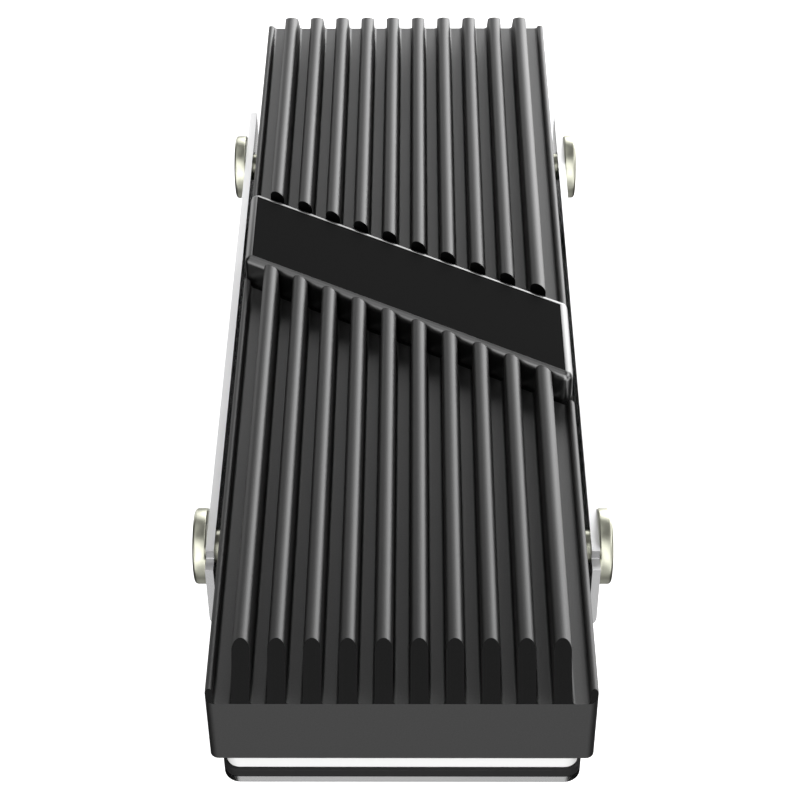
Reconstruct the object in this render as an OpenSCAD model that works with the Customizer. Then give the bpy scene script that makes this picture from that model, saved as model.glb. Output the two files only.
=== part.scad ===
// Clamp-on heat sink for a plug-in solid state drive board.
// A finned aluminium block is held in a folded sheet tray by two screws on each side.
// Two thermal pads lie between the block and the tray, with the board's place between them.
// Millimetres. X is the width, Y the length with the front end at -Y, Z is up from the tray's underside.

/* [Finned block] */
// Width of the block, the same as the board that it covers
body_w = 22; // [20:0.5:26]
// Length of the block
body_l = 70; // [66:1:100]
// Height of the solid base, from its underside to the groove floors
base_h = 4.8; // [4.2:0.1:8]
// Radius of the block's upright corners
body_corner_r = 0.5; // [0.2:0.1:0.8]

/* [Fins] */
// Number of fins
fin_count = 10; // [6:1:10]
// Distance from one fin to the next
fin_pitch = 2; // [1.8:0.05:2]
// Thickness of a fin
fin_t = 1; // [0.8:0.1:1.1]
// Height of a fin above the groove floor
fin_h = 2.6; // [2:0.1:6]
// Radius of the fillet at the foot of each fin and lip
root_r = 0.2; // [0.1:0.05:0.25]
// Width of the low lip along each side edge
lip_w = 0.45; // [0.3:0.05:0.5]
// Height of the lip above the groove floor
lip_h = 0.6; // [0.5:0.05:1]
// Land left above the groove floor where the sloped end cut starts
end_land = 0.03; // [0.02:0.01:0.1]

/* [Cross bar] */
// Angle of the bar across the fins, from the width direction
bar_angle = 30; // [20:1:35]
// Width of the bar's flat face, square to its edges
bar_face_w = 5.8; // [4:0.1:8]
// Radius of the bar's rounded rim
bar_rim_r = 0.5; // [0.3:0.1:0.7]
// Distance of the bar's ends inside the block's sides
bar_end_inset = 0.1; // [0.05:0.05:0.5]
// Drop of the bar's face below the fin tops
bar_drop = 0.4; // [0.1:0.1:0.8]
// Gap between the bar and the walls of its slot
bar_gap = 0.2; // [0.1:0.05:0.4]
// Depth of the slot below the groove floors
slot_sink = 0.05; // [0.02:0.01:0.2]
// Thickness of the black plate let into the bar
plate_t = 0.3; // [0.2:0.05:0.5]
// Gap around the black plate in its pocket
plate_gap = 0.02; // [0.01:0.01:0.05]

/* [Clamp tray] */
// Thickness of the sheet
sheet_t = 0.5; // [0.4:0.1:0.8]
// Gap between the block's side and the tray's wall
wall_gap = 0.5; // [0.3:0.05:0.8]
// Height of the walls above the block's underside
wall_rise = 3.5; // [3.2:0.1:4]
// Front end of the walls, from the middle of the block
wall_front = 23; // [22.5:0.5:24]
// Rear end of the walls, from the middle of the block
wall_rear = 25; // [24:0.5:30]
// Length of the low step at the front of each wall
step_l = 1; // [0.5:0.1:1.2]
// Drop of the low step
step_drop = 0.6; // [0.3:0.1:0.9]
// Inner radius of the folds
fold_r = 0.3; // [0.2:0.05:0.5]
// Distance of the tongues' sides inside the block's sides
tongue_inset = 0.65; // [0.5:0.05:2]
// Radius of the tongue corners
tongue_corner_r = 1; // [0.5:0.1:2]

/* [Thermal pads] */
// Thickness of the dark lower pad
lower_pad_t = 0.6; // [0.5:0.1:1.5]
// Thickness of the white upper pad
upper_pad_t = 1.1; // [0.5:0.1:2]
// Distance of the upper pad's edge inside the lower pad's edge
pad_inset = 0.2; // [0.1:0.05:0.5]

/* [Side screws] */
// Distance of each screw from the middle of the block, along its length
screw_y = 20; // [16:0.5:20]
// Height of the screws above the block's underside
screw_rise = 1.9; // [1.8:0.1:2]
// Diameter of the thread
screw_d = 2; // [1.6:0.1:2]
// Gap between the thread and its hole in the block, on the radius
thread_gap = 0.02; // [0.01:0.01:0.05]
// Gap between the thread and its hole in the tray's wall, on the radius
wall_hole_gap = 0.15; // [0.1:0.05:0.3]
// Length of the thread inside the block
thread_l = 3.5; // [2:0.1:5]
// Depth of the hole beyond the screw's tip
hole_spare = 0.5; // [0.3:0.1:1]
// Diameter of the head
head_d = 4.7; // [3.5:0.1:5]
// Thickness of the head
head_t = 0.85; // [0.6:0.05:1.5]
// Size of the bevel around the head's outer edge
head_bevel = 0.22; // [0.1:0.02:0.3]
// Length of each arm of the cross recess
cross_l = 2.4; // [1.5:0.1:3]
// Width of each arm of the cross recess
cross_w = 0.5; // [0.3:0.05:0.7]
// Depth of the cross recess
cross_depth = 0.5; // [0.3:0.05:0.6]

/* [Hidden] */
$fn = 64;
// Heights of the stack, from the tray's underside upwards
lower_pad_z = sheet_t;
upper_pad_z = lower_pad_z + lower_pad_t;
body_z = upper_pad_z + upper_pad_t;
groove_z = body_z + base_h;
fin_top_z = groove_z + fin_h;
screw_z = body_z + screw_rise;
wall_top_z = body_z + wall_rise;
// Half widths of the tray, inside and outside its walls
wall_in = body_w / 2 + wall_gap;
wall_out = wall_in + sheet_t;
// Width of the tray's tongues beyond the walls, and of the lower pad
tongue_w = body_w - 2 * tongue_inset;
// The bar stands on the floor of its slot
bar_z = groove_z - slot_sink;
bar_top_z = fin_top_z - bar_drop;
bar_end = body_w / 2 - bar_end_inset;
slot_w = bar_face_w + 2 * (bar_rim_r + bar_gap);
thread_hole_r = screw_d / 2 + thread_gap;
// Length of the screw's shank, from under its head to its tip
shank_l = wall_out - body_w / 2 + thread_l;
// Reach of cutting shapes past the surface that they cut
over = 1;

// Plan of a plate with rounded corners, centred
module round_plan(w, l, r) {
    union() {
        square([w - 2 * r, l], center = true);
        square([w, l - 2 * r], center = true);
        for (sx = [-1, 1], sy = [-1, 1])
            translate([sx * (w / 2 - r), sy * (l / 2 - r)]) circle(r);
    }
}

// Fillet in the corner at the origin, filling the quarter where x and y are above zero
module corner_fill(r) {
    difference() {
        translate([-0.05, -0.05]) square(r + 0.05);
        translate([r, r]) circle(r);
    }
}

// Outline of one fin with its round top and its root fillets, foot at the origin
module fin_profile() {
    translate([-fin_t / 2, -0.1]) square([fin_t, fin_h - fin_t / 2 + 0.1]);
    translate([0, fin_h - fin_t / 2]) circle(fin_t / 2);
    for (side = [0, 1]) mirror([side, 0])
        translate([fin_t / 2, 0]) corner_fill(root_r);
}

// Outline of the lip at the right side edge, with its outer face at x = 0
module lip_profile() {
    translate([-lip_w, -0.1]) square([lip_w, lip_h - lip_w / 2 + 0.1]);
    translate([-lip_w / 2, lip_h - lip_w / 2]) circle(lip_w / 2);
    mirror([1, 0]) translate([lip_w, 0]) corner_fill(root_r);
}

// Cross-section of the extruded block, underside at y = 0
module block_profile() {
    translate([-body_w / 2, 0]) square([body_w, base_h]);
    for (i = [0 : fin_count - 1])
        translate([(i - (fin_count - 1) / 2) * fin_pitch, base_h]) fin_profile();
    for (side = [0, 1]) mirror([side, 0])
        translate([body_w / 2, base_h]) lip_profile();
}

// Sloped cut that takes the fins and lips off at 45 degrees at the front end
module end_cut() {
    reach = fin_h + over;
    translate([-body_w / 2 - over, -body_l / 2, groove_z + end_land])
        rotate([90, 0, 90]) linear_extrude(body_w + 2 * over)
            polygon([[-over, -over], [0, 0], [reach, reach], [-over, reach]]);
}

// Waste outside one rounded upright corner, at the right rear
module corner_cut() {
    r = body_corner_r;
    translate([body_w / 2 - r, body_l / 2 - r, body_z - over])
        linear_extrude(base_h + fin_h + 2 * over) difference() {
            square(r + over);
            circle(r);
        }
}

// Blind threaded holes in the block's sides
module thread_holes() {
    for (side = [-1, 1], end = [-1, 1])
        translate([side * (body_w / 2 + over), end * screw_y, screw_z]) rotate([0, -side * 90, 0])
            cylinder(r = thread_hole_r, h = over + thread_l + hole_spare);
}

module fin_block() {
    color("#26272a") difference() {
        translate([0, body_l / 2, body_z]) rotate([90, 0, 0])
            linear_extrude(body_l) block_profile();
        for (end = [0, 1]) mirror([0, end, 0]) end_cut();
        for (mx = [0, 1], my = [0, 1]) mirror([mx, 0, 0]) mirror([0, my, 0]) corner_cut();
        translate([0, 0, bar_z]) rotate([0, 0, -bar_angle])
            translate([-body_w, -slot_w / 2, 0]) cube([2 * body_w, slot_w, fin_h + over]);
        thread_holes();
    }
}

// Slanted four-sided plan of the bar's face, its ends in line with the block's sides
module bar_plan(half_x, face_w) {
    half_y = face_w / 2 / cos(bar_angle);
    rise = half_x * tan(bar_angle);
    polygon([
        [-half_x, rise - half_y], [half_x, -rise - half_y],
        [half_x, -rise + half_y], [-half_x, rise + half_y]
    ]);
}

// Places its children at the four corners of the bar's face
module at_face_corners() {
    half_x = bar_end - bar_rim_r;
    half_y = bar_face_w / 2 / cos(bar_angle);
    for (sx = [-1, 1], sy = [-1, 1])
        translate([sx * half_x, -sx * half_x * tan(bar_angle) + sy * half_y]) children();
}

module cross_bar() {
    color("#3c3d40") difference() {
        hull() at_face_corners() {
            translate([0, 0, bar_z]) cylinder(r = bar_rim_r, h = 0.5, $fn = 32);
            translate([0, 0, bar_top_z - bar_rim_r]) sphere(bar_rim_r, $fn = 32);
        }
        translate([0, 0, bar_top_z - plate_t - plate_gap])
            linear_extrude(over) bar_plan(bar_end - bar_rim_r, bar_face_w);
    }
}

module bar_plate() {
    color("#151516") translate([0, 0, bar_top_z - plate_t - plate_gap]) linear_extrude(plate_t)
        bar_plan(bar_end - bar_rim_r - plate_gap, bar_face_w - 2 * plate_gap);
}

// Cross-section of the tray where it has walls, floor at the bottom
module tray_profile() {
    r_out = fold_r + sheet_t;
    difference() {
        union() {
            translate([-wall_out, r_out]) square([2 * wall_out, wall_top_z - r_out]);
            translate([-wall_out + r_out, 0]) square([2 * (wall_out - r_out), r_out + 0.1]);
            for (side = [-1, 1]) translate([side * (wall_out - r_out), r_out]) circle(r_out);
        }
        translate([-wall_in, r_out]) square([2 * wall_in, wall_top_z]);
        translate([-wall_in + fold_r, sheet_t]) square([2 * (wall_in - fold_r), r_out + 0.1]);
        for (side = [-1, 1]) translate([side * (wall_in - fold_r), r_out]) circle(fold_r);
    }
}

module clamp_tray() {
    color("#c9cbce") difference() {
        union() {
            translate([0, wall_rear, 0]) rotate([90, 0, 0])
                linear_extrude(wall_front + wall_rear) tray_profile();
            linear_extrude(sheet_t) round_plan(tongue_w, body_l, tongue_corner_r);
        }
        // Low step at the front end of both walls
        translate([-wall_out - over, -wall_front - over, wall_top_z - step_drop])
            cube([2 * (wall_out + over), step_l + over, step_drop + over]);
        // Clearance holes for the screws
        for (side = [-1, 1], end = [-1, 1])
            translate([side * (wall_out + over), end * screw_y, screw_z]) rotate([0, -side * 90, 0])
                cylinder(r = screw_d / 2 + wall_hole_gap, h = sheet_t + 1.2 * over);
    }
}

module lower_pad() {
    color("#2b2c2e") translate([0, 0, lower_pad_z]) linear_extrude(lower_pad_t)
        round_plan(tongue_w, body_l, tongue_corner_r);
}

module upper_pad() {
    color("#f0f0ee") translate([0, 0, upper_pad_z]) linear_extrude(upper_pad_t)
        round_plan(tongue_w - 2 * pad_inset, body_l - 2 * pad_inset, tongue_corner_r - pad_inset);
}

// One screw along +Z, the underside of its head at z = 0 and its shank below
module screw() {
    difference() {
        rotate_extrude() polygon([
            [0, -shank_l], [screw_d / 2 - 0.3, -shank_l], [screw_d / 2, -shank_l + 0.3],
            [screw_d / 2, 0], [head_d / 2, 0], [head_d / 2, head_t - head_bevel],
            [head_d / 2 - head_bevel, head_t], [0, head_t]
        ]);
        for (turn = [0, 90]) rotate([0, 0, turn])
            translate([-cross_l / 2, -cross_w / 2, head_t - cross_depth])
                cube([cross_l, cross_w, cross_depth + over]);
    }
}

module side_screws() {
    color("#a9a898") for (side = [-1, 1], end = [-1, 1])
        translate([side * wall_out, end * screw_y, screw_z]) rotate([0, side * 90, 0]) screw();
}

fin_block();
cross_bar();
bar_plate();
clamp_tray();
lower_pad();
upper_pad();
side_screws();
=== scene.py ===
# %% [markdown]
# A clamp-on heat sink for a drive board
#
# A small drive board plugs flat into a computer and gets hot. This heat sink clamps round it: a black
# finned block lies on top, a folded sheet tray holds it from below, and two thermal pads touch the
# board from both sides. Four small screws pull the tray and the block together.
#
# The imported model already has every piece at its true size. This lesson dresses it: each piece is
# modelled again with finer curves, gets a finish, and is lit as in a small photo studio.

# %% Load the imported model
import math

import bmesh
import bpy
from mathutils import Matrix, Vector


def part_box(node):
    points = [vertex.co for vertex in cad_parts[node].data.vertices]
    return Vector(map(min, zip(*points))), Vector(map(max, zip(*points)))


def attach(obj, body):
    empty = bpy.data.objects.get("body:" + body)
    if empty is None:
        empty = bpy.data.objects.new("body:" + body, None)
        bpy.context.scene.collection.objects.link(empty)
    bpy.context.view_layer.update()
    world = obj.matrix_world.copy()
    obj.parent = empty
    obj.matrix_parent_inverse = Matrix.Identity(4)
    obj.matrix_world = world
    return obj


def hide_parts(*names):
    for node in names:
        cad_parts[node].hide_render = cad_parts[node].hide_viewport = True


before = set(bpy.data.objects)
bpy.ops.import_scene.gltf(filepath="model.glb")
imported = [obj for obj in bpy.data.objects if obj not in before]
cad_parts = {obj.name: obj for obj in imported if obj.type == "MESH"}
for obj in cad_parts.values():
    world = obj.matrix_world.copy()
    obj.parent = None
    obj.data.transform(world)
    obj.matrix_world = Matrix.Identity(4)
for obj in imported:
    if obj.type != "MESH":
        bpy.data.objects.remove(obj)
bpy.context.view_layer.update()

for node_name in sorted(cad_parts):
    low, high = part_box(node_name)
    print(node_name, "from", [round(v * 1000, 2) for v in low], "to", [round(v * 1000, 2) for v in high])

# %% [markdown]
# Working in millimetres
#
# Blender's edit tools have built-in tolerances that suit things the size of furniture. A fillet of
# 0.2 mm would be lost in them. So each piece is modelled with one unit as one millimetre, and is
# shrunk to metres when it is finished. The box of a solid is read in millimetres too. Most pieces
# start as a blank, a box between two corners, as a maker would saw one off a bar of stock.

# %% Blanks in millimetres
MM = 0.001


def box_mm(node_name):
    """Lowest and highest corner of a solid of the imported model, in millimetres."""
    low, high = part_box(node_name)
    return low / MM, high / MM


def only_nothing():
    """Deselects everything, because an operator acts on all that is selected."""
    if bpy.context.object and bpy.context.object.mode != "OBJECT":
        bpy.ops.object.mode_set(mode="OBJECT")
    bpy.ops.object.select_all(action="DESELECT")


def only(piece):
    """Leaves one piece selected and active, in object mode."""
    only_nothing()
    piece.select_set(True)
    bpy.context.view_layer.objects.active = piece


def slab(name, low, high):
    """Adds a box between two corners, as the blank that a piece is cut from."""
    only_nothing()
    low, high = Vector(low), Vector(high)
    bpy.ops.mesh.primitive_cube_add(size=1, location=(low + high) / 2, scale=high - low)
    piece = bpy.context.object
    piece.name = piece.data.name = name
    bpy.ops.object.transform_apply(location=True, rotation=True, scale=True)
    return piece


# %% [markdown]
# Picking faces and edges in code
#
# By hand you would click on the edges that you want. In code they are picked by where they are: a
# test is run on every corner, edge or face, and those that pass become selected. After that the same
# tools work as with the mouse: extrude, bevel, or slice with a plane.

# %% Picking, slicing and pushing
SAME_LENGTH = 0.01


def pick(piece, kind, test):
    """Goes into edit mode and selects the corners, edges or faces that pass the test."""
    if bpy.context.object.mode != "EDIT":
        bpy.ops.object.mode_set(mode="EDIT")
    bpy.ops.mesh.select_mode(type=kind)
    bpy.ops.mesh.select_all(action="DESELECT")
    shape = bmesh.from_edit_mesh(piece.data)
    parts = {"VERT": shape.verts, "EDGE": shape.edges, "FACE": shape.faces}[kind]
    chosen = [part for part in parts if test(part)]
    for part in chosen:
        part.select_set(True)
    shape.select_flush_mode()
    bmesh.update_edit_mesh(piece.data)
    return len(chosen)


def near(a, b, tolerance=SAME_LENGTH):
    """True if two lengths are the same within a small tolerance, in millimetres."""
    return abs(a - b) < tolerance


def both_ends(edge, test):
    """True if the test holds at both ends of an edge."""
    return all(test(corner.co) for corner in edge.verts)


def upright(edge):
    """True for an edge that runs straight up."""
    a, b = (corner.co for corner in edge.verts)
    return near(a.x, b.x) and near(a.y, b.y)


def cut_plane(point, normal, **what):
    """Slices the whole mesh in edit mode with a plane."""
    bpy.ops.mesh.select_all(action="SELECT")
    bpy.ops.mesh.bisect(plane_co=point, plane_no=normal, threshold=0.0001, **what)


def push(x=0, y=0, z=0):
    """Extrudes the selection by a distance."""
    bpy.ops.mesh.extrude_region_move(TRANSFORM_OT_translate={"value": (x, y, z)})


print("lengths count as equal within", SAME_LENGTH, "mm")

# %% [markdown]
# Cutting and finishing
#
# Holes and slots are cut with a tool body, the way a drill or a mill cuts them. Every piece then gets
# the same last treatment: loose doubles are merged, faces are turned outwards, millimetres become
# metres, and curves are shaded smooth. Flat faces keep more weight than narrow bevels in that
# smoothing, so they go on looking flat. The print tells if the skin is closed, which it has to be.

# %% Cutting tools and the last treatment
DOUBLES = 0.002


def carve(piece, tool, how="DIFFERENCE"):
    """Cuts a tool body out of a piece, or keeps only what both fill, and removes the tool."""
    only(piece)
    cut = piece.modifiers.new("carve", "BOOLEAN")
    cut.operation, cut.solver, cut.object = how, "EXACT", tool
    bpy.ops.object.modifier_apply(modifier=cut.name)
    bpy.data.objects.remove(tool)


def finish_shape(piece, smooth_below=32, flat_sides=True):
    """Cleans a mesh, turns its faces outwards, shrinks it to metres and smooths its curves."""
    only(piece)
    bpy.ops.object.mode_set(mode="EDIT")
    bpy.ops.mesh.select_all(action="SELECT")
    bpy.ops.mesh.remove_doubles(threshold=DOUBLES)
    bpy.ops.mesh.dissolve_degenerate(threshold=0.001)
    bpy.ops.mesh.normals_make_consistent(inside=False)
    bpy.ops.object.mode_set(mode="OBJECT")
    piece.scale = (MM, MM, MM)
    bpy.ops.object.transform_apply(location=True, rotation=True, scale=True)
    bpy.ops.object.shade_smooth_by_angle(angle=math.radians(smooth_below))
    if flat_sides:
        even = piece.modifiers.new("even", "WEIGHTED_NORMAL")
        even.keep_sharp = True
        bpy.ops.object.modifier_apply(modifier=even.name)
    shape = bmesh.new()
    shape.from_mesh(piece.data)
    open_edges = sum(not edge.is_manifold for edge in shape.edges)
    volume = shape.calc_volume(signed=True) / MM**3
    shape.free()
    print(f"{piece.name}: {len(piece.data.polygons)} faces, {open_edges} open edges, {volume:.1f} mm3")
    return piece


print("pieces to make:", len(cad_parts))

# %% [markdown]
# The finned block
#
# The real block is sawn off a long aluminium extrusion, then milled. Its cross-section could be drawn
# as one outline and pushed out in one go. Here it is built as a maker would explain it: a plain slab,
# sliced lengthways into strips, with every second strip pulled up into a fin. That keeps each step
# easy to see, and the same strips give the low lip along each side.

# %% Slab sliced into strips
block_low, block_high = box_mm("fin_block")
BLOCK_W = block_high.x - block_low.x
BLOCK_L = block_high.y - block_low.y
BASE_H = 4.8
GROOVE_Z = block_low.z + BASE_H
FIN_TOP_Z = block_high.z
FINS = 10
FIN_PITCH = 2.0
FIN_T = 1.0
LIP_W = 0.45
LIP_H = 0.6

fin_x = [(i - (FINS - 1) / 2) * FIN_PITCH for i in range(FINS)]
block = slab("finned_block", block_low, (block_high.x, block_high.y, GROOVE_Z))
bpy.ops.object.mode_set(mode="EDIT")
side_x = [x + s * FIN_T / 2 for x in fin_x for s in (-1, 1)]
for x in side_x + [s * (BLOCK_W / 2 - LIP_W) for s in (-1, 1)]:
    cut_plane((x, 0, 0), (1, 0, 0))
print("strips across the slab:", len(side_x) + 3)

# %% [markdown]
# Pulling up the fins
#
# The strips between two fins stay as they are and become the groove floors. The ten fin strips are
# extruded together, and the two narrow strips along the sides a little, for the lips.

# %% Fins and lips
def on_top(face, test):
    """True for a face that looks up and whose middle passes a test on its place across the block."""
    return face.normal.z > 0.9 and test(face.calc_center_median().x)


count = pick(block, "FACE", lambda f: on_top(f, lambda x: any(near(x, fin, FIN_T / 4) for fin in fin_x)))
push(z=FIN_TOP_Z - GROOVE_Z)
print("fins pulled up:", count)
pick(block, "FACE", lambda f: on_top(f, lambda x: abs(x) > BLOCK_W / 2 - LIP_W))
push(z=LIP_H)

# %% [markdown]
# Round tops and soft roots
#
# An extrusion die has no sharp corners, so each fin ends in a half round and stands on a small
# fillet. Both come from the Bevel tool on the long edges: two bevels nearly as wide as half the fin
# meet at its crest and make the half round, and a bevel on an inner edge fills it as a fillet. A
# tiny slack keeps the two bevels from crossing.

# %% Bevel the long edges
ROOT_R = 0.2
ROOT_STEPS = 5
CREST_STEPS = 9
CREST_SLACK = 0.0005


def long_edge(edge, z, places):
    """True for an edge along the block at one height and at one of these places across it."""
    a, b = (corner.co for corner in edge.verts)
    return near(a.x, b.x) and near(a.z, z) and near(b.z, z) and any(near(a.x, x) for x in places)


pick(block, "EDGE", lambda e: long_edge(e, FIN_TOP_Z, side_x))
bpy.ops.mesh.bevel(offset=FIN_T / 2 - CREST_SLACK, segments=CREST_STEPS, profile=0.5, affect="EDGES")
lip_edges = [s * (BLOCK_W / 2 - t) for s in (-1, 1) for t in (0, LIP_W)]
pick(block, "EDGE", lambda e: long_edge(e, GROOVE_Z + LIP_H, lip_edges))
bpy.ops.mesh.bevel(offset=LIP_W / 2 - CREST_SLACK, segments=CREST_STEPS, profile=0.5, affect="EDGES")
root_x = side_x + [s * (BLOCK_W / 2 - LIP_W) for s in (-1, 1)]
count = pick(block, "EDGE", lambda e: long_edge(e, GROOVE_Z, root_x))
bpy.ops.mesh.bevel(offset=ROOT_R, segments=ROOT_STEPS, profile=0.5, affect="EDGES")
print("root fillets:", count)

# %% [markdown]
# End cuts, corners and the slanted slot
#
# Both ends of the fins are milled off at 45 degrees, down to a thin land above the groove floors. A
# plane can do that in one slice, and closes the cut behind it. The upright corners are rounded by
# keeping only what also fits inside a rounded blank, and a long cutter turned by 30 degrees mills
# the slot for the cross bar. Blank and cutter reach a little past the block, as a real tool does.

# %% Mill the ends, the corners and the slot
END_LAND = 0.03
CORNER_R = 0.5
BAR_ANGLE = math.radians(30)
BAR_FACE_W = 5.8
RIM_R = 0.5
BAR_GAP = 0.2
SLOT_SINK = 0.05
SPARE = 1.0

pick(block, "FACE", lambda f: False)
for end in (-1, 1):
    cut_plane((0, end * BLOCK_L / 2, GROOVE_Z + END_LAND), (0, end, 1), use_fill=True, clear_outer=True)
bpy.ops.mesh.select_all(action="SELECT")
bpy.ops.mesh.remove_doubles(threshold=DOUBLES)
bpy.ops.mesh.dissolve_limited(angle_limit=math.radians(0.5))

blank = slab("blank", (block_low.x, block_low.y, block_low.z - SPARE),
             (block_high.x, block_high.y, FIN_TOP_Z + SPARE))
pick(blank, "EDGE", upright)
bpy.ops.mesh.bevel(offset=CORNER_R, segments=8, profile=0.5, affect="EDGES")
bpy.ops.object.mode_set(mode="OBJECT")
carve(block, blank, "INTERSECT")

SLOT_W = BAR_FACE_W + 2 * (RIM_R + BAR_GAP)
cutter = slab("slot_cutter", (-BLOCK_W, -SLOT_W / 2, GROOVE_Z - SLOT_SINK),
              (BLOCK_W, SLOT_W / 2, FIN_TOP_Z + SPARE))
cutter.rotation_euler.z = -BAR_ANGLE
bpy.ops.object.transform_apply(location=False, rotation=True, scale=False)
carve(block, cutter)
print("slot", round(SLOT_W, 2), "mm wide at", round(math.degrees(BAR_ANGLE)), "degrees")

# %% [markdown]
# Tapped holes
#
# Two holes from each side take the screws. They could be modelled with their thread, but nobody
# sees it, so each is a plain hole a little wider than the screw. The tray gets its holes later with
# the same drill.

# %% Drill the four screw holes
SCREW_Y = 20.0
SCREW_Z = 4.1
SCREW_R = 1.0
TAPPED_GAP = 0.02
WALL_HOLE_GAP = 0.15
THREAD_LENGTH = 3.5
HOLE_SPARE = 0.5
SCREW_PLACES = [(side, end) for side in (-1, 1) for end in (-1, 1)]


def drill(piece, radius, inner_x, outer_x):
    """Drills a round hole from each side at the four screws."""
    for side, end in SCREW_PLACES:
        only_nothing()
        bpy.ops.mesh.primitive_cylinder_add(
            vertices=48, radius=radius, depth=outer_x - inner_x,
            location=(side * (inner_x + outer_x) / 2, end * SCREW_Y, SCREW_Z),
            rotation=(0, math.pi / 2, 0))
        bit = bpy.context.object
        bpy.ops.object.transform_apply(location=True, rotation=True, scale=True)
        carve(piece, bit)


drill(block, SCREW_R + TAPPED_GAP, BLOCK_W / 2 - THREAD_LENGTH - HOLE_SPARE, BLOCK_W / 2 + SPARE)
finish_shape(block)
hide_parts("fin_block")

# %% [markdown]
# The slanted cross bar
#
# A bar lies across the fins in the slot, its face slightly below their crests. Its rim is rounded by
# the same radius all round, also at its sharp and blunt corners. A bevel would give the sharp corner
# a tighter curve than the blunt one. A hull stretched over four balls and four discs keeps one
# radius everywhere.

# %% Hull over four balls
bar_low, bar_high = box_mm("cross_bar")
FACE_X = bar_high.x - RIM_R
FACE_Y = BAR_FACE_W / 2 / math.cos(BAR_ANGLE)
BALL_STEPS = 48


def face_corners(inset=0.0):
    """The four corners of the bar's slanted face, in turn, drawn in by a distance."""
    half_x = FACE_X - inset
    half_y = FACE_Y - inset / math.cos(BAR_ANGLE)
    slope = math.tan(BAR_ANGLE)
    turn = [(-1, -1), (1, -1), (1, 1), (-1, 1)]
    return [(sx * half_x, -sx * half_x * slope + sy * half_y) for sx, sy in turn]


only_nothing()
balls = []
for x, y in face_corners():
    bpy.ops.mesh.primitive_uv_sphere_add(
        segments=BALL_STEPS, ring_count=BALL_STEPS // 2, radius=RIM_R, location=(x, y, bar_high.z - RIM_R))
    balls.append(bpy.context.object)
    bpy.ops.mesh.primitive_circle_add(
        vertices=BALL_STEPS, radius=RIM_R, fill_type="NGON", location=(x, y, bar_low.z))
    balls.append(bpy.context.object)
only_nothing()
for ball in balls:
    ball.select_set(True)
bpy.context.view_layer.objects.active = balls[0]
bpy.ops.object.join()
bar = bpy.context.object
bar.name = bar.data.name = "slanted_bar"
bpy.ops.object.transform_apply(location=True, rotation=True, scale=True)
bpy.ops.object.mode_set(mode="EDIT")
bpy.ops.mesh.select_all(action="SELECT")
bpy.ops.mesh.convex_hull(join_triangles=True)
bpy.ops.mesh.select_all(action="SELECT")
bpy.ops.mesh.dissolve_limited(angle_limit=math.radians(0.5))
print("bar face corners:", [(round(x, 2), round(y, 2)) for x, y in face_corners()])

# %% [markdown]
# A pocket for the plate
#
# The bar's flat face is pushed straight down inside its rounded rim, by the thickness of the plate
# and a thin layer of glue. What stays standing round the pocket is the narrow bright rim.

# %% Sink the face
PLATE_T = 0.3
PLATE_GAP = 0.02
pick(bar, "FACE", lambda f: f.normal.z > 0.999 and f.calc_area() > 50)
push(z=-(PLATE_T + PLATE_GAP))
finish_shape(bar, flat_sides=False)
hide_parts("cross_bar")

# %% [markdown]
# The black plate
#
# A thin plate fills the pocket of the bar. It starts as a box whose two ends are slid apart to make
# the slant, which is what a shear would do, and its upper edges are eased a little.

# %% Slide a box into a slanted plate
plate_low, plate_high = box_mm("bar_plate")
PLATE_EASE = 0.04
corners = face_corners(PLATE_GAP)
half_x, half_y = corners[2][0], (corners[2][1] - corners[1][1]) / 2
plate = slab("black_plate", (-half_x, -half_y, plate_low.z), (half_x, half_y, plate_high.z))
for side in (-1, 1):
    pick(plate, "VERT", lambda v: v.co.x * side > 0)
    bpy.ops.transform.translate(value=(0, -side * half_x * math.tan(BAR_ANGLE), 0))
pick(plate, "EDGE", lambda e: both_ends(e, lambda co: near(co.z, plate_high.z)))
bpy.ops.mesh.bevel(offset=PLATE_EASE, segments=3, profile=0.5, affect="EDGES")
finish_shape(plate, 40)
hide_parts("bar_plate")

# %% [markdown]
# The folded tray
#
# The tray is bent from one sheet. So it is modelled as a sheet too: one flat face of its outer skin,
# walls pulled up from its edges, the fold lines rounded, the tongues pulled out at both ends, and
# only then the thickness, which goes on the inside. A cut just inside each fold keeps the floor flat
# right up to the fold. The steps and holes are punched last.

# %% Skin of the tray with its folds
tray_low, tray_high = box_mm("clamp_tray")
SHEET_T = 0.5
FOLD_R = 0.3
FOLD_START = FOLD_R + SHEET_T + 0.01
WALL_FRONT = -23.0
WALL_REAR = 25.0
STEP_L = 1.0
STEP_DROP = 0.6
STEP_EASE = 0.06
TONGUE_X = box_mm("lower_pad")[1].x
TONGUE_R = 1.0

only_nothing()
bpy.ops.mesh.primitive_plane_add(size=1, location=(0, (WALL_FRONT + WALL_REAR) / 2, 0))
tray = bpy.context.object
tray.name = tray.data.name = "folded_tray"
tray.scale = (tray_high.x - tray_low.x, WALL_REAR - WALL_FRONT, 1)
bpy.ops.object.transform_apply(location=True, rotation=True, scale=True)
bpy.ops.object.mode_set(mode="EDIT")
for side in (-1, 1):
    cut_plane((side * TONGUE_X, 0, 0), (1, 0, 0))
    cut_plane((side * (tray_high.x - FOLD_START), 0, 0), (1, 0, 0))
pick(tray, "EDGE", lambda e: both_ends(e, lambda co: near(abs(co.x), tray_high.x)))
push(z=tray_high.z)
for y, reach in ((WALL_FRONT, tray_low.y), (WALL_REAR, tray_high.y)):
    pick(tray, "EDGE", lambda e: both_ends(
        e, lambda co: near(co.y, y) and abs(co.x) < TONGUE_X + SAME_LENGTH))
    push(y=reach - y)
pick(tray, "VERT", lambda v: near(abs(v.co.y), tray_high.y) and near(abs(v.co.x), TONGUE_X))
bpy.ops.mesh.bevel(offset=TONGUE_R, segments=8, profile=0.5, affect="VERTICES")
pick(tray, "EDGE", lambda e: both_ends(e, lambda co: near(abs(co.x), tray_high.x) and near(co.z, 0)))
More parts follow.
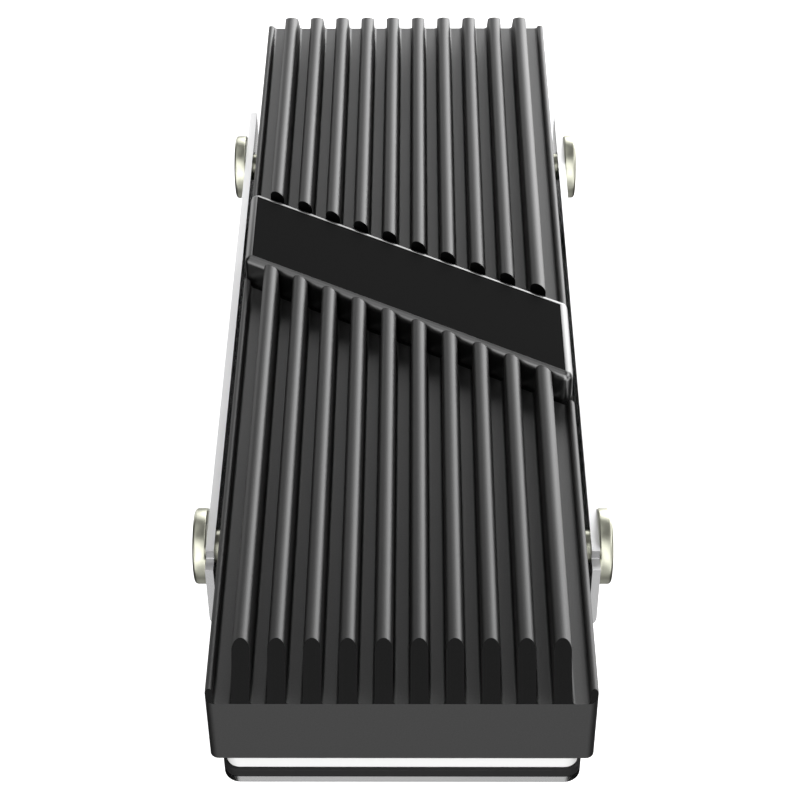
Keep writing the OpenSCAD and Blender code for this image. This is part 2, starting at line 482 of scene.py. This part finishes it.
bpy.ops.mesh.bevel(offset=FOLD_R + SHEET_T, segments=8, profile=0.5, affect="EDGES")
bpy.ops.mesh.select_all(action="SELECT")
bpy.ops.mesh.normals_make_consistent(inside=False)
bpy.ops.object.mode_set(mode="OBJECT")
print("tray skin faces:", len(tray.data.polygons))

# %% [markdown]
# Thickness, steps and holes
#
# Solidify gives the sheet its thickness on the inside, with the folds kept even. The wall's front end
# is then punched lower, which leaves the small step seen beside the front screws. A punch leaves
# edges that are nearly sharp, so they are eased only a little.

# %% Sheet thickness and punched openings
floor_normal = next(f.normal.z for f in tray.data.polygons if abs(f.normal.z) > 0.9)
only(tray)
thick = tray.modifiers.new("sheet", "SOLIDIFY")
thick.thickness, thick.offset, thick.use_even_offset = SHEET_T, (-1 if floor_normal < 0 else 1), True
bpy.ops.object.modifier_apply(modifier=thick.name)
step = slab("step_punch", (tray_low.x - SPARE, WALL_FRONT - SPARE, tray_high.z - STEP_DROP),
            (tray_high.x + SPARE, WALL_FRONT + STEP_L, tray_high.z + SPARE))
carve(tray, step)


def on_step_edge(co):
    """True for a corner on the upper edge of a step."""
    return near(co.y, WALL_FRONT + STEP_L) and near(co.z, tray_high.z)


pick(tray, "EDGE", lambda e: both_ends(e, on_step_edge))
bpy.ops.mesh.bevel(offset=STEP_EASE, segments=3, profile=0.5, affect="EDGES")
bpy.ops.object.mode_set(mode="OBJECT")
drill(tray, SCREW_R + WALL_HOLE_GAP, tray_high.x - SPARE, tray_high.x + SPARE)
finish_shape(tray)
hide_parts("clamp_tray")

# %% [markdown]
# The thermal pads
#
# Two soft silicone pads lie on the tray. They are cut from sheet with a rounded die, so their upright
# corners are round and their edges are square but soft. Both pads come from one function, because
# only their places and their two radii differ.

# %% Cut the two pads
def die_cut(name, node_name, corner_r, soft):
    """A pad with rounded upright corners and eased edges, in the place of its solid."""
    low, high = box_mm(node_name)
    pad = slab(name, low, high)
    pick(pad, "EDGE", upright)
    bpy.ops.mesh.bevel(offset=corner_r, segments=10, profile=0.5, affect="EDGES")
    pick(pad, "FACE", lambda f: abs(f.normal.z) > 0.9)
    bpy.ops.mesh.bevel(offset=soft, segments=4, profile=0.5, affect="EDGES")
    finish_shape(pad, 40)
    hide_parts(node_name)
    return pad


dark_pad = die_cut("dark_thermal_pad", "lower_pad", 1.0, 0.05)
white_pad = die_cut("white_thermal_pad", "upper_pad", 0.8, 0.06)

# %% [markdown]
# A side screw
#
# The screws are small machine screws with flat, wide heads. A head is turned on a lathe, so it starts
# as a cylinder whose rims are bevelled, and a cross recess is sunk into it. One screw is modelled
# standing up at the middle, and is copied to its four places at the end.

# %% Turn the head
HEAD_R = 2.35
HEAD_T = 0.85
HEAD_BEVEL = 0.22
UNDER_BEVEL = 0.12
CROSS_L = 2.4
CROSS_W = 0.5
CROSS_DEPTH = 0.5
WALL_OUT = tray_high.x

only_nothing()
bpy.ops.mesh.primitive_cylinder_add(vertices=96, radius=HEAD_R, depth=HEAD_T, location=(0, 0, HEAD_T / 2))
screw = bpy.context.object
screw.name = screw.data.name = "side_screw"
bpy.ops.object.transform_apply(location=True, rotation=True, scale=True)
pick(screw, "EDGE", lambda e: both_ends(e, lambda co: near(co.z, HEAD_T)))
bpy.ops.mesh.bevel(offset=HEAD_BEVEL, segments=6, profile=0.5, affect="EDGES")
pick(screw, "EDGE", lambda e: both_ends(e, lambda co: near(co.z, 0)))
bpy.ops.mesh.bevel(offset=UNDER_BEVEL, segments=3, profile=0.5, affect="EDGES")
bpy.ops.object.mode_set(mode="OBJECT")
for half_x, half_y in ((CROSS_L / 2, CROSS_W / 2), (CROSS_W / 2, CROSS_L / 2)):
    arm = slab("arm", (-half_x, -half_y, HEAD_T - CROSS_DEPTH), (half_x, half_y, HEAD_T + SPARE))
    carve(screw, arm)
print("head", 2 * HEAD_R, "mm across")

# %% [markdown]
# The thread
#
# A real thread is rolled: one V-shaped ridge that winds along the shank. Rings would look nearly the
# same, but a true helix is as easy: the outline of one tooth is drawn with a few extrusions at the
# tip of the shank, and the Screw modifier winds it up towards the neck, one pitch each turn.

# %% Wind the thread
PITCH = 0.4
THREAD_DEPTH = 0.16
FLANK_RISE = 0.16
TOOTH_FLAT = 0.08
THREAD_START = 0.1
NECK = 1.3
NECK_BEVEL = 0.12
SHANK = WALL_OUT - BLOCK_W / 2 + THREAD_LENGTH
TURNS = int((SHANK - NECK) / PITCH)

tooth_start = (SCREW_R - THREAD_DEPTH, 0, -NECK - (TURNS + 1) * PITCH + THREAD_START)
only_nothing()
bpy.ops.mesh.primitive_plane_add(size=0.1, location=tooth_start)
thread = bpy.context.object
bpy.ops.object.transform_apply(location=True, rotation=True, scale=True)
pick(thread, "VERT", lambda v: True)
bpy.ops.mesh.merge(type="CENTER")
for dx, dz in ((THREAD_DEPTH, FLANK_RISE), (0, TOOTH_FLAT), (-THREAD_DEPTH, FLANK_RISE)):
    push(x=dx, z=dz)
bpy.ops.object.mode_set(mode="OBJECT")
wind = thread.modifiers.new("wind", "SCREW")
wind.steps = wind.render_steps = 32
wind.iterations, wind.screw_offset, wind.use_merge_vertices = TURNS, PITCH, True
wind.merge_threshold = 0.001
bpy.ops.object.modifier_apply(modifier=wind.name)
pick(thread, "VERT", lambda v: True)
bpy.ops.mesh.remove_doubles(threshold=DOUBLES)
bpy.ops.mesh.select_all(action="SELECT")
bpy.ops.mesh.fill_holes(sides=0)
bpy.ops.object.mode_set(mode="OBJECT")
print("thread turns:", TURNS)

# %% [markdown]
# Neck and union
#
# Below the head the shank is plain, and only that part shows in the gap between tray and block. Head,
# neck and thread are joined by a boolean union, so that the screw has one closed skin.

# %% Neck between head and thread
only_nothing()
bpy.ops.mesh.primitive_cylinder_add(vertices=64, radius=SCREW_R, depth=NECK, location=(0, 0, -NECK / 2))
neck = bpy.context.object
bpy.ops.object.transform_apply(location=True, rotation=True, scale=True)
pick(neck, "EDGE", lambda e: both_ends(e, lambda co: near(co.z, -NECK)))
bpy.ops.mesh.bevel(offset=NECK_BEVEL, segments=2, profile=0.5, affect="EDGES")
for part in (neck, thread):
    carve(screw, part, "UNION")
print("screw faces:", len(screw.data.polygons))

# %% [markdown]
# Four screws
#
# Each copy gets its own mesh, is laid on its side with its head outwards, and is applied in place, so
# its origin stays at the origin of the whole object.

# %% Copy the screw to its four places
screws = []
for side, end in SCREW_PLACES:
    copy = screw.copy()
    copy.data = screw.data.copy()
    bpy.context.scene.collection.objects.link(copy)
    side_name, end_name = "left" if side < 0 else "right", "front" if end < 0 else "rear"
    copy.name = copy.data.name = f"side_screw_{side_name}_{end_name}"
    copy.rotation_euler = (0, side * math.pi / 2, 0)
    copy.location = (side * WALL_OUT, end * SCREW_Y, SCREW_Z)
    only(copy)
    bpy.ops.object.transform_apply(location=True, rotation=True, scale=True)
    finish_shape(copy)
    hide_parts("side_screws")
    screws.append(copy)
bpy.data.objects.remove(screw)

# %% [markdown]
# One body
#
# Nothing on this heat sink moves, so all pieces ride on the same body.

# %% Pieces ride on the body
pieces = {
    block: "black_anodised", bar: "bar_anodised", plate: "plate_black", tray: "polished_sheet",
    dark_pad: "dark_pad", white_pad: "white_pad", **{copy: "nickel_screw" for copy in screws}}
for piece, slot_name in pieces.items():
    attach(piece, "root")
print(len(pieces), "pieces ride on the body")

# %% [markdown]
# Finishes
#
# Every finish is a small network of nodes. A socket wrapped in the class below takes part in plain
# sums, so a mask can be written as 1 - grain * 0.2 instead of being wired by hand. Patterns read
# Object coordinates, in metres, which is why their scales are in the thousands.

# %% A socket that can be used in sums
class Value:
    """The output of a node, with + - * < | and abs adding the Math nodes that they stand for."""

    def __init__(self, finish, socket):
        self.finish, self.socket = finish, socket

    def sum_with(self, how, left, right):
        return self.finish.node("ShaderNodeMath", {"operation": how}, {0: left, 1: right})

    def __add__(self, other):
        return self.sum_with("ADD", self, other)

    def __sub__(self, other):
        return self.sum_with("SUBTRACT", self, other)

    def __rsub__(self, other):
        return self.sum_with("SUBTRACT", other, self)

    def __mul__(self, other):
        return self.sum_with("MULTIPLY", self, other)

    def __lt__(self, other):
        return self.sum_with("LESS_THAN", self, other)

    def __or__(self, other):
        return self.sum_with("MAXIMUM", self, other)

    def __abs__(self):
        return self.sum_with("ABSOLUTE", self, 0.0)

    __radd__, __rmul__ = __add__, __mul__


print("sums on sockets: + - * < | and abs")

# %% [markdown]
# A finish
#
# A finish is one material with one shader. Each pattern starts from the place on the object, is
# stretched or split, and ends in a colour, a roughness or a relief.

# %% A material and its nodes
class Finish:
    """A material with one shader, and the method that adds every other node."""

    def __init__(self, name, **settings):
        self.material = bpy.data.materials.new(name)
        self.material.use_nodes = True
        self.tree = self.material.node_tree
        self.shader = self.tree.nodes["Principled BSDF"]
        for socket_name, value in settings.items():
            self.shader.inputs[socket_name.replace("_", " ")].default_value = value

    def node(self, kind, settings=None, sockets=None, out=0):
        """Adds a node: its settings first, then its sockets, each a number, a colour or a link."""
        made = self.tree.nodes.new(kind)
        for key, value in (settings or {}).items():
            setattr(made, key, value)
        for key, value in (sockets or {}).items():
            if isinstance(value, Value):
                self.tree.links.new(value.socket, made.inputs[key])
            else:
                made.inputs[key].default_value = value
        return Value(self, made.outputs[out])

    def feed(self, socket_name, value):
        """Links a value to the shader."""
        self.tree.links.new(value.socket, self.shader.inputs[socket_name])

    def place(self):
        """Object coordinates."""
        return self.node("ShaderNodeTexCoord", out="Object")

    def axes(self):
        """The three Object coordinates one by one, in millimetres."""
        where = self.stretched(1 / MM, 1 / MM, 1 / MM)
        split = [self.node("ShaderNodeSeparateXYZ", {}, {0: where}, out=axis) for axis in range(3)]
        return split

    def stretched(self, x, y, z):
        """Object coordinates times a factor along each axis. A small factor draws a pattern out."""
        return self.node("ShaderNodeVectorMath", {"operation": "MULTIPLY"}, {0: self.place(), 1: (x, y, z)})

    def noise(self, where, scale, detail):
        """Soft cloudy noise between 0 and 1, finer with a larger scale."""
        sockets = {"Vector": where, "Scale": scale, "Detail": detail}
        return self.node("ShaderNodeTexNoise", {}, sockets, out="Fac")

    def blend(self, mask, first, second):
        """A mix of two colour sockets or colours with alpha, by a mask."""
        return self.node("ShaderNodeMix", {"data_type": "RGBA"}, {0: mask, 6: first, 7: second}, out=2)

    def between(self, mask, first, second):
        """A colour between two plain colours, by a mask."""
        return self.blend(mask, (*first, 1), (*second, 1))

    def relief(self, height, depth):
        """Feeds the shader's normal from a height, with its depth in metres."""
        bump = self.node("ShaderNodeBump", {}, {"Strength": 1.0, "Distance": depth, "Height": height})
        self.feed("Normal", bump)


def grey(shade, blue=0.0):
    """A neutral colour, or one with a trace more or less of blue."""
    return shade, shade, shade + blue


def dress(piece, finish):
    """Puts a finish in the piece's only material slot."""
    piece.data.materials.clear()
    piece.data.materials.append(finish.material)
    print(piece.name, "wears", finish.material.name, "with", len(finish.tree.nodes), "nodes")


MASK_SLACK = 0.02
print("a mask takes in", MASK_SLACK, "mm on each side of the face that it finds")

# %% [markdown]
# Black anodised aluminium
#
# Dyed oxide on metal looks like a very dark metal: it has hardly any colour of its own, and what it
# mirrors is soft and dim. The extruded skin carries faint lines along the length. The end cuts and
# the slot get a far darker colour: on the 45 degree end cuts it is simply made darker, and in the slot
# it is painted shade under the bar. A mask finds them by their place: planes at 45 degrees at the
# ends, and a slanted band across the middle.

# %% Finned block finish
anodised = Finish("black_anodised_finish", Metallic=1.0)
x, y, z = anodised.axes()
end_faces = abs(z - (GROOVE_Z + END_LAND) - (BLOCK_L / 2 - abs(y))) < 1.5 * MASK_SLACK
# the slanted band under the bar, where the darker colour is painted shade
slot_shade_mask = abs(x * math.sin(BAR_ANGLE) + y * math.cos(BAR_ANGLE)) < SLOT_W / 2 + MASK_SLACK
dark_ends_and_slot_shade = end_faces | slot_shade_mask
grain = anodised.noise(anodised.place(), 9000, 3)
drawn = anodised.noise(anodised.stretched(1, 0.01, 1), 14000, 2)
extruded_black = anodised.between(grain, grey(0.105), grey(0.135))
# near-black colour for the end cuts, and painted shade for the slot under the bar
ends_and_slot_shade_black = anodised.between(grain, grey(0.0095), grey(0.0125))
anodised.feed("Base Color", anodised.blend(dark_ends_and_slot_shade, extruded_black, ends_and_slot_shade_black))
anodised.feed("Roughness", drawn * 0.06 + grain * 0.04 + 0.40)
anodised.relief(grain * 0.6 + drawn * 0.4, 0.000001)
dress(block, anodised)

# %% [markdown]
# The bar and its plate
#
# The bar is polished finer than the block, so its rim shows sharper lines of light. Its colour is the
# block's dark metal made about twice as light: painted light that makes those lines brighter.
# The plate is a flat coat of dull black lacquer with the faint ripple that sprayed paint has.

# %% Bar and plate finishes
bar_finish = Finish("bar_finish", Metallic=1.0)
grain = bar_finish.noise(bar_finish.place(), 12000, 3)
# the block's dark metal made about twice as light: painted light on the bar's rim
bar_finish.feed("Base Color", bar_finish.between(grain, grey(0.22), grey(0.26)))
bar_finish.feed("Roughness", grain * 0.06 + 0.27)
bar_finish.relief(grain, 0.000001)
dress(bar, bar_finish)

lacquer = Finish("plate_lacquer", Metallic=0.0, Specular_IOR_Level=0.02)
peel = lacquer.noise(lacquer.place(), 5000, 2)
lacquer.feed("Base Color", lacquer.between(peel, grey(0.0095), grey(0.0110)))
lacquer.feed("Roughness", peel * 0.08 + 0.5)
lacquer.relief(peel, 0.000001)
dress(plate, lacquer)

# %% [markdown]
# The polished sheet
#
# The tray is bright rolled sheet. Rolling leaves very fine lines along the length, far weaker than
# brushing does. The wall's upper edge and the ledge of its step are sheared faces. They mirror far
# less sharply than the sheet, so they gather light from a wider part of the room. The upright face
# of each step is rougher, and its much darker colour is painted shade, the dim reflection it shows.

# %% Tray finish
sheet = Finish("polished_sheet_finish", Metallic=1.0)
rolled = sheet.noise(sheet.stretched(1, 0.02, 1), 6000, 2)
x, y, z = sheet.axes()
ledge_z = tray_high.z - STEP_DROP
riser = (abs(y - (WALL_FRONT + STEP_L)) < STEP_EASE / 2) * (1 - (z < ledge_z + 1.5 * MASK_SLACK))
ledge = (abs(z - ledge_z) < MASK_SLACK) * (y < WALL_FRONT + STEP_L)
sheared = (1 - (z < tray_high.z - MASK_SLACK)) | ledge
polished = sheet.between(rolled, grey(0.92, 0.005), grey(0.96, 0.005))
# much darker colour on the upright face of each step: painted shade
painted_step_shade = sheet.between(rolled, grey(0.31), grey(0.38))
sheet.feed("Base Color", sheet.blend(riser, polished, painted_step_shade))
sheet.feed("Roughness", rolled * 0.05 + riser * 0.2 + sheared * 0.26 + 0.17)
sheet.relief(rolled, 0.0000002)
dress(tray, sheet)

# %% [markdown]
# Nickel on the screws
#
# Nickel plating is warmer than bare steel, slightly yellow green. It mirrors the room in soft bands
# round the head. The four screws share one finish, as parts from one plating bath do.

# %% Screw finish
nickel = Finish("nickel_finish", Metallic=1.0)
turned = nickel.noise(nickel.place(), 9000, 2)
nickel.feed("Base Color", nickel.between(turned, (0.64, 0.645, 0.53), (0.68, 0.685, 0.57)))
nickel.feed("Roughness", turned * 0.04 + 0.33)
nickel.relief(turned, 0.0000001)
for copy in screws:
    dress(copy, nickel)

# %% [markdown]
# Silicone pads
#
# Thermal pads are silicone filled with fine powder. They are matt, with specks that only show close
# up, and they have no gloss to speak of.

# %% Pad finishes
dark = Finish("dark_silicone", Metallic=0.0, Specular_IOR_Level=0.25)
speck = dark.noise(dark.place(), 16000, 3)
dark.feed("Base Color", dark.between(speck, grey(0.010, 0.0005), grey(0.018, 0.0005)))
dark.feed("Roughness", speck * 0.1 + 0.55)
dark.relief(speck, 0.000003)
dress(dark_pad, dark)

pale = Finish("white_silicone", Metallic=0.0)
speck = pale.noise(pale.place(), 9000, 3)
pale.feed("Base Color", pale.between(speck, grey(0.93, -0.005), grey(0.955, -0.005)))
pale.feed("Roughness", speck * 0.1 + 0.5)
pale.relief(speck, 0.000003)
dress(white_pad, pale)

# %% [markdown]
# The light of the room
#
# Bright metal shows the room more than itself, so the room has to be right before the metal can be.
# The round screw heads mirror it from top to bottom: bright all along the horizon, dim overhead and
# below, and brightest low behind the object and to its right. Lamps with hard borders would draw
# their outlines in the fins. So the room is a smooth glow made of soft round patches. Each is given
# by its direction round the room, its height above the horizon in degrees, and its strength.

# %% Soft patches of light
class Room(Finish):
    """The light that comes from all round, made of the same kinds of nodes as a finish."""

    def __init__(self, name):
        self.world = bpy.data.worlds.new(name)
        self.world.use_nodes = True
        self.tree = self.world.node_tree
        self.shader = self.tree.nodes["Background"]

    def patch(self, azimuth, height, strength):
        """A round glow that fades out softly. Azimuth 0 is behind the object, 90 is to its right."""
        a, h = math.radians(azimuth), math.radians(height)
        towards = (math.sin(a) * math.cos(h), math.cos(a) * math.cos(h), math.sin(h))
        along = self.node("ShaderNodeVectorMath", {"operation": "DOT_PRODUCT"},
                          {0: self.node("ShaderNodeTexCoord", out="Generated"), 1: towards}, out="Value")
        return strength * self.node("ShaderNodeMapRange", {"interpolation_type": "SMOOTHSTEP"},
                                    {"Value": along, "From Min": math.cos(PATCH_REACH), "From Max": 1.0})


PATCH_REACH = math.radians(26)
PATCHES = [
    (300, 66, 0.71), (60, 44, 1.08), (90, 44, 1.10), (120, 44, 1.55), (180, 44, 0.95),
    (210, 44, 1.43), (240, 44, 0.60), (0, 24, 1.64), (15, 24, 0.81), (30, 24, 2.39),
    (180, 24, 1.26), (15, 4, 1.60), (30, 4, 2.33), (45, 4, 1.41), (120, 4, 1.21), (180, 4, 2.01),
    (210, 4, 1.14), (240, 4, 1.11), (330, 4, 1.13), (30, -18, 1.42), (60, -18, 1.12),
    (150, -18, 1.63), (210, -18, 1.30), (330, -18, 0.46), (0, -42, 0.72), (180, -42, 0.52),
    (0, -90, 0.41)]

room = Room("studio_room")
bpy.context.scene.world = room.world
glow = room.patch(*PATCHES[0])
for spot in PATCHES[1:]:
    glow = glow + room.patch(*spot)
seen = room.node("ShaderNodeLightPath", out="Is Camera Ray")
room.feed("Color", glow * (1 - seen) + seen)
print("soft patches of light:", len(PATCHES))

# %% [markdown]
# The white floor
#
# Product photos are cut out on pure white. So the object stands on a sheet of white paper that glows
# just enough to read as pure white, and has no shadow on it. Only the camera sees the paper. What the
# metal mirrors from below is the lower half of the room, which is dim under the object.

# %% Paper floor
FLOOR_SIZE = 4.0
FLOOR_GAP = 0.00005
only_nothing()
bpy.ops.mesh.primitive_plane_add(size=FLOOR_SIZE, location=(0, 0, -FLOOR_GAP))
floor = bpy.context.object
floor.name = "studio_floor"
bpy.ops.object.transform_apply(location=True, rotation=True, scale=True)
paper = Finish("studio_paper", Base_Color=(0.8, 0.8, 0.8, 1), Roughness=0.9,
               Emission_Color=(1, 1, 1, 1), Emission_Strength=1.0)
dress(floor, paper)
floor.visible_diffuse = floor.visible_glossy = floor.visible_shadow = False
print("floor", [round(v, 2) for v in floor.dimensions[:2]], "m")

# %% [markdown]
# The camera
#
# The camera stands in front of the object and looks down at it. Its place was found from the edges
# of the object in the photo, so the shape in the picture and the shape here cover each other.

# %% Place the camera
LENS, FILM_WIDTH = 93.81, 36
CAMERA_AT = Vector((0.806, -109.854, 97.403)) * MM
PITCH_DOWN, YAW, ROLL = (math.radians(v) for v in (42.074, 0.589, -0.415))

camera_data = bpy.data.cameras.new("camera")
camera_data.lens, camera_data.sensor_width = LENS, FILM_WIDTH
camera_data.clip_start, camera_data.clip_end = 0.01, 20
camera = bpy.data.objects.new("camera", camera_data)
bpy.context.scene.collection.objects.link(camera)
tilt = Matrix.Rotation(math.pi / 2 - PITCH_DOWN, 4, "X")
turn = Matrix.Rotation(YAW, 4, "Z") @ tilt @ Matrix.Rotation(ROLL, 4, "Z")
camera.matrix_world = Matrix.Translation(CAMERA_AT) @ turn
bpy.context.scene.camera = camera
bpy.context.scene.view_settings.view_transform = "Standard"
print("camera at", [round(v / MM, 1) for v in camera.location], "mm")
